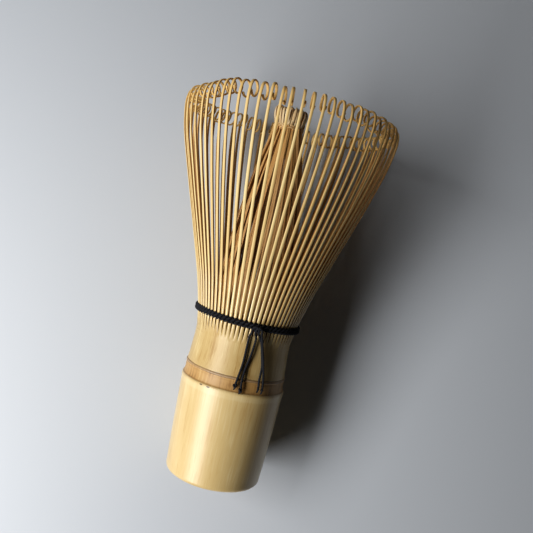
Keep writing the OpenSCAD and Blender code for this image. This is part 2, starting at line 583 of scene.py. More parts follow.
@dataclass(frozen=True)
class Studio:
    """Soft window light from the upper left, and the pale table that the whisk lies on."""

    key_towards: tuple[float, float, float] = (-0.87, -0.91, -0.36)
    key_aim: tuple[float, float, float] = (0.0, 0.0, 62.0)
    key_distance: float = 350.0
    key_width: float = 150.0
    key_height: float = 430.0
    key_power: float = 1.52
    key_colour: str = "#FFFEFC"
    sky_colour: str = "#D9D3CE"
    sky_strength: float = 0.034
    backdrop_strength: float = 0.62
    table_colour: str = "#CDD2D9"
    table_roughness: float = 0.55
    table_at_foot: float = 14.8
    table_slope: float = 0.158
    table_reach: float = 900.0

    def build(self) -> None:
        """Makes the lamp, the sky and the table."""
        lamp = bpy.data.lights.new("window", "AREA")
        lamp.shape = "RECTANGLE"
        lamp.size, lamp.size_y = self.key_width * MM, self.key_height * MM
        lamp.energy = self.key_power
        lamp.color = linear(self.key_colour)[:3]
        window = bpy.data.objects.new("window", lamp)
        towards = Vector(self.key_towards).normalized()
        window.rotation_mode = "QUATERNION"
        window.rotation_quaternion = towards.to_track_quat("Z", "Y")
        window.location = (Vector(self.key_aim) + towards * self.key_distance) * MM
        scene = bpy.context.scene
        scene.collection.objects.link(window)
        scene.world = self.make_sky()
        scene.view_settings.view_transform = "Standard"
        scene.view_settings.look = "Medium High Contrast"
        self.lay_table()

    def make_sky(self) -> bpy.types.World:
        """Makes the faint light of the room, behind a pale backdrop.

        Returns:
            The world, which lights the whisk less than it shows to the eye.
        """
        world = bpy.data.worlds.new("sky")
        world.use_nodes = True
        wiring = Wiring(world.node_tree)
        colour = linear(self.sky_colour)
        fill, backdrop = (
            wiring.add("ShaderNodeBackground", {"Color": colour, "Strength": strength})
            for strength in (self.sky_strength, self.backdrop_strength)
        )
        seen = wiring.add("ShaderNodeLightPath", {}, "Is Camera Ray")
        mixed = wiring.add("ShaderNodeMixShader", {0: seen, 1: fill, 2: backdrop})
        wiring.add_end("ShaderNodeOutputWorld", {"Surface": mixed})
        return world

    def lay_table(self) -> None:
        """Lays a table top behind the whisk, touching its foot and its curls."""
        reach = self.table_reach
        square = ((-reach, -reach), (reach, -reach), (reach, reach), (-reach, reach))
        corners = [(x, self.table_at_foot + self.table_slope * z, z) for x, z in square]
        table = make_piece("tabletop", corners, [(0, 1, 2, 3)])
        # Honed stone: dull and even, so that it shows soft shadows and no reflection.
        stone, wiring = new_material("honed_stone")
        look = {"Base Color": linear(self.table_colour), "Roughness": self.table_roughness}
        shine = wiring.add("ShaderNodeBsdfPrincipled", look)
        clear = wiring.add("ShaderNodeBsdfTransparent", {})
        # Seen from under the table, the whisk isn't hidden by it.
        under = wiring.add("ShaderNodeNewGeometry", {}, "Backfacing")
        mixed = wiring.add("ShaderNodeMixShader", {0: under, 1: shine, 2: clear})
        wiring.add_end("ShaderNodeOutputMaterial", {"Surface": mixed})
        table.data.materials.append(stone)


# ---------------------------------------------------------------- finishes


@dataclass(frozen=True)
class CulmFinish:
    """Bamboo culm with its fibres along Z.

    The eye sees fine straight fibre streaks, slow changes of tone, and a soft wax gloss
    where the skin was kept and rubbed smooth.
    """

    name: str
    base: str
    pale: str
    dark: str
    cut_pale: str = "#C89F62"
    cut_dark: str = "#6E4522"
    fleck_colour: str = "#4A3426"
    roughness: float = 0.42
    coat: float = 0.25
    fibre: float = 0.34
    streak: float = 1.5
    blotch: float = 14.0
    bump: float = 0.25
    # Height, half width, strength and colour of each line round the culm: stains, a painted
    # highlight or painted shade.
    rings: tuple[tuple[float, float, float, str], ...] = ()
    # Place and half length of each small dark scar.
    flecks: tuple[tuple[float, float, float, float], ...] = ()

    def grain(self, wiring: Wiring, where: Socket) -> tuple[Socket, Socket, Socket]:
        """Draws the culm's fibres.

        Args:
            wiring: The material's tree.
            where: Object coordinates.

        Returns:
            The colour, the fibres' height and the slower streaks.
        """
        # Fibres run on for about forty times their width.
        drawn = wiring.stretch(where, 0.025)
        fibre = wiring.noise(drawn, 1 / (self.fibre * MM), 2.0, 0.6)
        streak = wiring.noise(drawn, 1 / (self.streak * MM), 3.0, 0.55)
        blotch = wiring.noise(where, 1 / (self.blotch * MM), 2.0)
        mixed = wiring.math("ADD", fibre, streak)
        tone = wiring.fit(wiring.math("ADD", mixed, blotch), 1.1, 1.9)
        stops = ((0.08, self.dark), (0.42, self.base), (0.62, self.base), (0.95, self.pale))
        return wiring.ramp(tone, stops), mixed, streak

    def make(self) -> bpy.types.Material:
        """Makes the material.

        Returns:
            The material, with fibres of the real width.
        """
        material, wiring = new_material(self.name)
        where = wiring.position()
        colour, mixed, streak = self.grain(wiring, where)
        colour = self.add_stains_and_painted_light(wiring, where, colour)
        colour = self.add_flecks(wiring, where, colour)
        wiring.surface(
            Base_Color=self.add_cut(wiring, where, colour),
            Normal=wiring.bump(mixed, self.bump, 0.06),
            Roughness=wiring.fit(
                streak, 0.0, 1.0, self.roughness - 0.06, self.roughness + 0.14
            ),
            IOR=1.5,
            Coat_Weight=self.coat,
            Coat_Roughness=0.32,
        )
        return material

    def add_stains_and_painted_light(self, wiring: Wiring, where: Socket, colour: Socket) -> Socket:
        """Adds the lines that go round the culm: stains, and on the handle and node a painted
        highlight and painted shade.

        Args:
            wiring: The material's tree.
            where: Object coordinates.
            colour: The colour so far.

        Returns:
            The colour with the lines, which waver and fade in places.
        """
        if not self.rings:
            return colour
        height = wiring.add("ShaderNodeSeparateXYZ", {0: where}, "Z")
        shift = wiring.fit(wiring.noise(where, 420.0, 2.0), 0.0, 1.0, -0.22 * MM, 0.22 * MM)
        level = wiring.math("ADD", height, shift)
        share = wiring.fit(wiring.noise(where, 260.0, 3.0), 0.3, 0.6, 0.35, 1.0)
        for at, half, strength, hue in self.rings:
            away = wiring.math("ABSOLUTE", wiring.math("SUBTRACT", level, at * MM))
            ends = (half * 0.4 * MM, half * 1.3 * MM, strength, 0.0)
            near = wiring.fit(away, *ends, ease="SMOOTHSTEP")
            colour = wiring.mix(wiring.math("MULTIPLY", near, share), colour, linear(hue))
        return colour

    def add_flecks(self, wiring: Wiring, where: Socket, colour: Socket) -> Socket:
        """Adds small dark scars, each lying across the fibres.

        Args:
            wiring: The material's tree.
            where: Object coordinates.
            colour: The colour so far.

        Returns:
            The colour with the scars.
        """
        for x, y, z, half in self.flecks:
            offset = wiring.vector("SUBTRACT", {0: where, 1: (x * MM, y * MM, z * MM)})
            squeezed = wiring.vector("MULTIPLY", {0: offset, 1: (1.0, 1.0, 2.6)})
            far = wiring.vector("LENGTH", {0: squeezed}, "Value")
            amount = wiring.fit(far, half * 0.55 * MM, half * 1.1 * MM, 0.9, 0.0)
            colour = wiring.mix(amount, colour, linear(self.fleck_colour))
        return colour

    def add_cut(self, wiring: Wiring, where: Socket, colour: Socket) -> Socket:
        """Shows the ends of the fibres, as dark dots, where the culm was sawn.

        Args:
            wiring: The material's tree.
            where: Object coordinates.
            colour: The colour so far.

        Returns:
            The colour, with the cut and inner faces in their own tone.
        """
        flat = wiring.stretch(where, 0.03)
        given = {"Vector": flat, "Scale": 1 / (0.55 * MM)}
        dots = wiring.add("ShaderNodeTexVoronoi", given, "Distance")
        wood = wiring.ramp(dots, ((0.12, self.cut_dark), (0.34, self.cut_pale)))
        return wiring.mix(wiring.attribute("cut"), colour, wood)


@dataclass(frozen=True)
class SplitFinish:
    """Strips of split and scraped bamboo.

    The outer face keeps a pale satin skin near the root, the split sides are browner and duller,
    partly their own wood and partly painted shade, and the ends that were drawn over heat are
    golden.
    """

    name: str
    skin: str
    skin_deep: str
    side: str
    tip: str
    culm: CulmFinish | None = None
    root_gloss: float = 0.3
    wax: float = 0.0
    dull: float = 0.52

    def make(self) -> bpy.types.Material:
        """Makes the material.

        Returns:
            The material, which reads across, along, split, tone and root.
        """
        material, wiring = new_material(self.name)
        names = ("across", "along", "split", "tone", "root")
        across, along, split, tone, root = (wiring.attribute(name) for name in names)
        spread = wiring.math("MULTIPLY", tone, 57.0)
        long_way = wiring.math("MULTIPLY", along, 3.5)
        laid = wiring.add("ShaderNodeCombineXYZ", {0: across, 1: long_way, 2: spread})
        # Two or three fibres show across a strip less than a millimetre wide.
        fibre = wiring.noise(laid, 2.6, 3.0)
        mixed = wiring.math("ADD", fibre, wiring.fit(tone, 0.0, 1.0, -0.22, 0.22))
        deep = wiring.fit(mixed, 0.25, 0.8)
        colour = wiring.mix(deep, linear(self.skin_deep), linear(self.skin))
        if self.culm:
            # Below the thread the strips are still the neck, with the same fibres.
            uncut = self.culm.grain(wiring, wiring.position())[0]
            colour = wiring.mix(root, colour, uncut)
        # Split sides and inner faces take the side colour: browner wood, made darker as painted
        # shade.
        colour = wiring.mix(split, colour, linear(self.side))
        gilded = wiring.fit(along, 0.66, 0.9, 0.0, 0.85, ease="SMOOTHSTEP")
        colour = wiring.mix(gilded, colour, linear(self.tip))
        rough = wiring.fit(along, 0.1, 0.24, self.root_gloss, self.dull)
        # The skin's wax is left on below the place where the scraping starts.
        waxed = wiring.fit(along, 0.13, 0.17, self.wax, 0.0)
        if self.culm:
            ends = ((waxed, self.culm.coat), (rough, self.culm.roughness + 0.04))
            waxed, rough = (
                wiring.add("ShaderNodeMix", {0: root, 2: above, 3: below}, data_type="FLOAT")
                for above, below in ends
            )
        wiring.surface(
            Base_Color=colour,
            Roughness=rough,
            Normal=wiring.bump(fibre, 0.25, 0.05),
            Coat_Weight=waxed,
            IOR=1.5,
            Coat_Roughness=0.26,
        )
        return material


@dataclass(frozen=True)
class ThreadFinish:
    """Black twisted cotton thread: dull, blue-black, with the plies just showing."""

    name: str = "black_cotton_thread"
    deep: str = "#07080C"
    raised: str = "#1D202C"

    def make(self) -> bpy.types.Material:
        """Makes the material.

        Returns:
            The material, with fluff of a tenth of a millimetre.
        """
        material, wiring = new_material(self.name)
        fluff = wiring.noise(wiring.position(), 1 / (0.16 * MM), 3.0)
        share = wiring.fit(fluff, 0.35, 0.7)
        wiring.surface(
            Base_Color=wiring.mix(share, linear(self.deep), linear(self.raised)),
            Normal=wiring.bump(fluff, 0.5, 0.05),
            Roughness=0.8,
            Sheen_Weight=0.03,
            Sheen_Roughness=0.4,
        )
        return material


# The handle's own skin, rubbed to a wax gloss, with a thin dark line and a painted highlight
# under the node.
HANDLE_FINISH = CulmFinish(
    "polished_bamboo_skin", base="#DBC088", pale="#E4CD9A", dark="#D0B076",
    coat=0.8,
    # The first ring is a thin dark line at the node's edge; the second is a painted highlight
    # along the swollen ridge below it.
    rings=((29.55, 0.12, 0.5, "#8E6C42"), (28.1, 0.9, 0.3, "#F2E2B6")),
    flecks=((-8.58, -13.03, 29.15, 0.6), (-6.44, -14.21, 29.1, 0.7)),
)
# The tan, dull bark of the growth node, under a grey scar line, with painted shade along its
# lower edge.
NODE_FINISH = CulmFinish(
    "bamboo_node_bark", base="#C0985F", pale="#D0AE76", dark="#98703E",
    roughness=0.46, coat=0.15, fibre=0.5, streak=2.4, blotch=6.0,
    rings=(
        (33.35, 0.3, 0.7, "#A8927A"), (33.05, 0.08, 0.8, "#5A4636"),
        # Painted shade where the band tucks in above the handle's ridge.
        (29.7, 0.3, 0.45, "#96703E"),
    ),
)
# Scraped bamboo: finer fibres and less gloss than the skin.
NECK_FINISH = CulmFinish(
    "scraped_bamboo_neck", base="#CCB078", pale="#DEC892", dark="#B49054",
    roughness=0.4, fibre=0.28,
    rings=((33.7, 0.1, 0.85, "#6A5A4A"), (34.3, 0.5, 0.35, "#CDAE78")),
)
# The dry wood inside, with no gloss at all.
INSIDE_FINISH = CulmFinish(
    "bamboo_partition_wood", base="#C9A468", pale="#DDC08A", dark="#8F6534",
    roughness=0.7, coat=0.0,
)
# Outer tines: waxed skin at the root, satin higher up, and golden curls.
TINE_FINISH = SplitFinish(
    "split_bamboo_tines", "#ECD49A", "#DCBC7C", "#B08046", "#E4BE78", NECK_FINISH, wax=1.0
)
# Inner tines: softer wood, warmer and dull.
INNER_FINISH = SplitFinish(
    "split_bamboo_inner_tines", "#F6CC90", "#D69E58", "#8F5824", "#E2B470", root_gloss=0.5
)
# The inner tines' roots: the inner tines' colours made darker, as painted shade from the outer
# tines.
ROOTS_PAINTED_SHADE_FINISH = SplitFinish(
    "split_bamboo_inner_roots_painted_shade", "#B27C44", "#8C5828", "#5E3818", "#B27C44", root_gloss=0.6
)
# The bundle's thin, pale tips.
BUD_FINISH = SplitFinish(
    "split_bamboo_bud", "#FFF0CE", "#EFCD96", "#AC7A42", "#DCAE6A", root_gloss=0.5
)


# ---------------------------------------------------------------- strips of bamboo


@dataclass
class Strip:
    """One strip of bamboo in the plane of X, outwards, and Z, as rows along its length."""

    rows: list[tuple[float, float, float, float, float, float]] = field(default_factory=list)

    def add(
        self,
        radius: float,
        height: float,
        width: float,
        thick: float,
        slide: float = 0.0,
        bevel: float = 1.0,
    ) -> None:
        """Adds a row.

        Args:
            radius: How far its middle is from the axis.
            height: How high its middle is.
            width: How wide the strip is there.
            thick: How thick it is there.
            slide: How far it has gone sideways.
            bevel: How rounded its edges are, from 0 to 1.
        """
        self.rows.append((radius, height, width, thick, slide, bevel))

    def build(self, name: str, start_height: float) -> Piece:
        """Makes the strip as a loose object that trees can repeat.

        Args:
            name: The object's name.
            start_height: The height from which "along" counts. The root is below it.

        Returns:
            The object, with across, along, root and split attributes.
        """
        middle = [Vector((r, s, z)) for r, z, _, _, s, _ in self.rows]
        last = len(self.rows) - 1
        points: list[Vector] = []
        values: dict[str, list[float]] = {"across": [], "along": [], "root": []}
        travelled = 0.0
        for i, (_, height, width, thick, _, bevel) in enumerate(self.rows):
            way = (middle[min(i + 1, last)] - middle[max(i - 1, 0)]).normalized()
            out = Vector((way.z, 0.0, -way.x)).normalized()
            if i and (height > start_height or self.rows[i - 1][1] > start_height):
                travelled += (middle[i] - middle[i - 1]).length
            top, edge = 1 - 0.2 * bevel, 1 - 0.28 * bevel
            outline = (
                (-top, 1.0), (-1.0, edge), (-0.96, -0.72), (-0.74, -1.0), (0.74, -1.0),
                (0.96, -0.72), (1.0, edge), (top, 1.0), (0.0, 1.0 + 0.1 * bevel),
            )
            rooted = 1 - smooth_step(start_height - 5, start_height - 1.5, height)
            for u, v in outline:
                aside = Vector((0, 1, 0)) * (u * width / 2)
                points.append(middle[i] + aside + out * (v * thick / 2))
                for key, value in zip(values, (u, travelled, rooted)):
                    values[key].append(value)
        values["along"] = [a / max(travelled, 1e-6) for a in values["along"]]
        n = len(outline)
        sides = [Cut.SKIN, Cut.SIDE, *[Cut.INNER] * 3, Cut.SIDE, *[Cut.SKIN] * 3]
        split = [side.value for side in sides] * last + [Cut.SIDE.value] * 2
        faces = [face[::-1] for face in joined_rows(last + 1, n, "capped")]
        return make_piece(name, points, faces, values, {"split": split}, linked=False)


def new_tree(name: str, sockets: dict[str, str], result: str) -> tuple[Wiring, Any]:
    """Starts a geometry tree.

    Args:
        name: The tree's name.
        sockets: The name of each input, and what it takes.
        result: The name of the output.

    Returns:
        The tree's wiring and its inputs.
    """
    tree = bpy.data.node_groups.new(name, "GeometryNodeTree")
    for key, kind in sockets.items():
        tree.interface.new_socket(key, in_out="INPUT", socket_type=f"NodeSocket{kind}")
    tree.interface.new_socket(result, in_out="OUTPUT", socket_type="NodeSocketGeometry")
    return Wiring(tree), add_node(tree, "NodeGroupInput", {}).outputs


class RingOfStrips:
    """A geometry tree that sets strips in a ring, each with its own small differences."""

    sockets = {
        "Strips": "Collection", "Kinds": "Int", "Count": "Int", "First Angle": "Float",
        "Pitch": "Float", "Jitter": "Float", "Root Height": "Float", "Length": "Float",
        "Sway": "Float", "Reach": "Float", "Lean": "Float", "Seed": "Int",
        "Finish": "Material",
    }

    def __init__(self) -> None:
        """Builds the tree and its named inputs."""
        self.wiring, self.given = new_tree("ring_of_strips", self.sockets, "Strips")
        self.tree = self.wiring.tree
        wiring, given = self.wiring, self.given
        index = wiring.add("GeometryNodeInputIndex", {})
        even = wiring.math(
            "MULTIPLY_ADD", wiring.math("ADD", index, 0.5), given["Pitch"], given["First Angle"]
        )
        chance = wiring.chance(index, given["Seed"], -1.0)
        angle = wiring.math("MULTIPLY_ADD", chance, given["Jitter"], even)
        top_kind = wiring.math("SUBTRACT", given["Kinds"], 1.0)
        drawn = {4: 0, 5: top_kind, 7: index, 8: given["Seed"]}
        together = {"Separate Children": True, "Reset Children": True}
        flow = wiring.add(
            "GeometryNodeInstanceOnPoints",
            {
                "Points": wiring.add("GeometryNodePoints", {"Count": given["Count"]}),
                "Instance": wiring.add(
                    "GeometryNodeCollectionInfo", {"Collection": given["Strips"], **together}
                ),
                "Instance Index": wiring.add(
                    "FunctionNodeRandomValue", drawn, 2, data_type="INT"
                ),
                "Rotation": wiring.add("ShaderNodeCombineXYZ", {"Z": angle}),
                "Pick Instance": True,
            },
        )
        for step, (key, low) in enumerate((("tone", 0.0), ("sway", -1.0), ("reach", -1.0)), 1):
            seed = wiring.math("ADD", given["Seed"], 100.0 * step)
            flow = wiring.store(flow, key, wiring.chance(index, seed, low))
        flow = wiring.add("GeometryNodeRealizeInstances", {0: flow})
        moved = {"Geometry": flow, "Offset": self.bend()}
        wiring.end_shape(wiring.add("GeometryNodeSetPosition", moved), given["Finish"])

    def bend(self) -> Socket:
        """Works out how far each point of a strip is bent aside, more towards its tip.

        Returns:
            The offset, sideways, outwards and with the lean of the whole ring.
        """
        wiring, given = self.wiring, self.given
        at = wiring.add("GeometryNodeInputPosition", {})
        height = wiring.add("ShaderNodeSeparateXYZ", {0: at}, "Z")
        above = wiring.math("SUBTRACT", height, given["Root Height"])
        share = wiring.math("DIVIDE", above, given["Length"], use_clamp=True)
        curve = wiring.math("POWER", share, 1.6)
        flat = wiring.vector("MULTIPLY", {0: at, 1: (1.0, 1.0, 0.0)})
        outward = wiring.vector("NORMALIZE", {0: flat})
        sideways = wiring.vector("CROSS_PRODUCT", {0: (0.0, 0.0, 1.0), 1: outward})
        lean = wiring.math("MULTIPLY", above, given["Lean"])
        total = wiring.add("ShaderNodeCombineXYZ", {"X": lean})
        for key, direction in (("Sway", sideways), ("Reach", outward)):
            most = wiring.math("MULTIPLY", wiring.stored(key.lower()), given[key])
            amount = wiring.math("MULTIPLY", most, curve)
            part = wiring.vector("SCALE", {0: direction, "Scale": amount})
            total = wiring.vector("ADD", {0: total, 1: part})
        return total


class TwinedRound:
    """A geometry tree that winds strands round the axis, crossing at even steps."""

    sockets = {
        "Radius": "Float", "Height": "Float", "Crossings": "Float", "Swing Out": "Float",
        "Swing Up": "Float", "Strand": "Float", "Strands": "Int", "Shift": "Float",
        "Tilt": "Float", "Finish": "Material",
    }
    steps_round = 432
    steps_across = 8

    def __init__(self) -> None:
        """Builds the tree and its named inputs."""
        self.wiring, self.given = new_tree("twined_round", self.sockets, "Strands")
        self.tree = self.wiring.tree
        wiring, given = self.wiring, self.given
        circle, outline = (
            wiring.add(
                "GeometryNodeCurvePrimitiveCircle", {"Radius": given[key], "Resolution": steps}
            )
            for key, steps in (("Radius", self.steps_round), ("Strand", self.steps_across))
        )
        points = wiring.add("GeometryNodePoints", {"Count": given["Strands"]})
        copied = {"Points": points, "Instance": circle}
        flow = wiring.add("GeometryNodeInstanceOnPoints", copied)
        number = wiring.add("GeometryNodeInputIndex", {})
        share = wiring.math("DIVIDE", number, given["Strands"])
        flow = wiring.store(flow, "phase", wiring.math("MULTIPLY", share, math.tau))
        flow = wiring.add("GeometryNodeRealizeInstances", {0: flow})
        flow = wiring.add("GeometryNodeSetPosition", {"Geometry": flow, "Offset": self.swing()})
        swept = {"Curve": flow, "Profile Curve": outline}
        flow = wiring.add("GeometryNodeCurveToMesh", swept)
        flow = wiring.add("GeometryNodeRealizeInstances", {0: flow})
        wiring.end_shape(flow, given["Finish"])

    def swing(self) -> Socket:
        """Works out how a strand swings in and out, and up and down, as it goes round.

        Returns:
            The offset from the even circle.
        """
        wiring, given = self.wiring, self.given
        at = wiring.add("GeometryNodeInputPosition", {})
        x, y = (wiring.add("ShaderNodeSeparateXYZ", {0: at}, axis) for axis in "XY")
        start = wiring.math("ADD", wiring.stored("phase"), given["Shift"])
        angle = wiring.math("ARCTAN2", y, x)
        turned = wiring.math("MULTIPLY_ADD", angle, given["Crossings"], start)
        swing_out, swing_up = (
            wiring.math("MULTIPLY", wiring.math(wave, turned), given[key])
            for wave, key in (("COSINE", "Swing Out"), ("SINE", "Swing Up"))
        )
        outward = wiring.vector("NORMALIZE", {0: at})
        out = wiring.vector("SCALE", {0: outward, "Scale": swing_out})
        rise = wiring.math("ADD", swing_up, given["Height"])
        rise = wiring.math("MULTIPLY_ADD", x, given["Tilt"], rise)
        up = wiring.add("ShaderNodeCombineXYZ", {"Z": rise})
        return wiring.vector("ADD", {0: out, 1: up})


def grow(tree: bpy.types.NodeTree, name: str, inputs: dict[str, Any]) -> Piece:
    """Runs a geometry tree and keeps its result as a plain mesh.

    Args:
        tree: The tree to run.
        name: The new piece's name.
        inputs: A value for each named input that isn't nought.

    Returns:
        The piece.
    """
    scene = bpy.context.scene
    host = bpy.data.objects.new(f"{name}_host", bpy.data.meshes.new(f"{name}_host"))
    scene.collection.objects.link(host)
    modifier = host.modifiers.new("Growth", "NODES")
    modifier.node_group = tree
    for item in tree.interface.items_tree:
        if item.in_out == "INPUT" and item.name in inputs:
            modifier[item.identifier] = inputs[item.name]
    bpy.context.view_layer.update()
    depsgraph = bpy.context.evaluated_depsgraph_get()
    mesh = bpy.data.meshes.new_from_object(
        host.evaluated_get(depsgraph), preserve_all_data_layers=True, depsgraph=depsgraph
    )
    host.modifiers.remove(modifier)
    bpy.data.objects.remove(host)
    mesh.name = name
    smooth(mesh)
    piece = bpy.data.objects.new(name, mesh)
    scene.collection.objects.link(piece)
    return piece


# ---------------------------------------------------------------- sub-assemblies


@dataclass
class Culm:
    """The grip: two internodes, the growth node between them, and its partition."""

    bore: float = 11.0
    foot: float = 14.4
    foot_round: float = 1.3
    node: float = 29.6
    scar: float = 33.6
    neck_top: float = 43.0
    crown: float = 45.2
    root_thick: float = 0.7
    side: Profile = (
        (14.42, 2.4), (14.75, 8), (15.08, 15), (15.3, 21), (15.46, 26), (15.6, 28.2),
        (15.66, 28.9), (15.6, 29.3),
    )
    band: Profile = (
        (15.38, 29.6), (15.2, 29.95), (15.08, 30.6), (15.04, 31.4), (15.06, 32.2),
        (15.02, 32.75), (15.13, 33.05), (15.16, 33.3), (15.02, 33.6),
    )
    waist: Profile = (
        (14.9, 33.6), (14.93, 33.85), (14.86, 34.4), (14.72, 35.6), (14.58, 38),
        (14.44, 40.2), (14.37, 41.8), (14.385, 43.0),
    )

    def build(self) -> None:
        """Builds and dresses the four pieces."""
        self.build_handle()
        self.build_node()
        self.build_partition()
        self.build_neck()

    def wave(self, angle: float, height: float) -> float:
        """How far a grown culm is from a true circle, in millimetres."""
        return 0.035 * math.sin(3 * angle + height / 11) + 0.015 * math.sin(7 * angle + 1)

    def build_handle(self) -> None:
        """Builds the lower internode, with its rounded foot and swollen top."""
        turn = [
            (self.foot - self.foot_round * (1 - math.sin(a)), self.foot_round * (1 - math.cos(a)))
            for a in np.linspace(0, math.pi / 2, 8)
        ]
        outside = [*turn, *rounded(self.side, 0.9), (15.42, self.node)]
        inside = [(self.bore, self.node), (self.bore, 0.6), (self.bore + 0.6, 0.0)]
        piece = revolve("handle_internode", outside, inside, self.wave)
        place(piece, Slot.HANDLE, ["handle"], HANDLE_FINISH.make())

    def build_node(self) -> None:
        """Builds the hollow band over the node, up to the scar's lip."""
        inside = [(self.bore, self.scar), (self.bore, self.node)]
        piece = revolve("growth_node", rounded(self.band, 0.2), inside, self.wave)
        place(piece, Slot.NODE, ["node_band"], NODE_FINISH.make())

    def build_partition(self) -> None:
        """Builds the partition: a disc, hollowed on top, that closes the bore."""
        around, edge, inset = 96, self.bore, 0.7
        low, high = self.node + inset, self.scar - inset
        rows = [(edge * s, low + 0.5 * (1 - s**2)) for s in np.linspace(0.06, 1, 10)]
        rows += [(edge * s, high - 0.7 * (1 - s**2)) for s in np.linspace(1, 0.06, 10)]
        points = [
            (r * math.cos(math.tau * k / around), r * math.sin(math.tau * k / around), z)
            for r, z in rows
            for k in range(around)
        ]
        faces = joined_rows(len(rows), around, "capped")
        uncut = {"cut": [0.0] * len(faces)}
        piece = make_piece("partition", points, faces, face_values=uncut)
        place(piece, Slot.INSIDE, ["septum"], INSIDE_FINISH.make())

    def build_neck(self) -> None:
        """Builds the upper internode, with a ledge that the outer strips stand on."""
        outside = rounded(self.waist, 0.6)
        ledge = outside[-1][0] - self.root_thick - 0.03
        inside = [
            (ledge, self.neck_top), (ledge - 0.1, self.crown),
            (self.bore, self.crown), (self.bore, self.scar),
        ]
        piece = revolve("neck_internode", outside, inside, self.wave)
        place(piece, Slot.NECK, ["neck", "outer_roots"], NECK_FINISH.make())


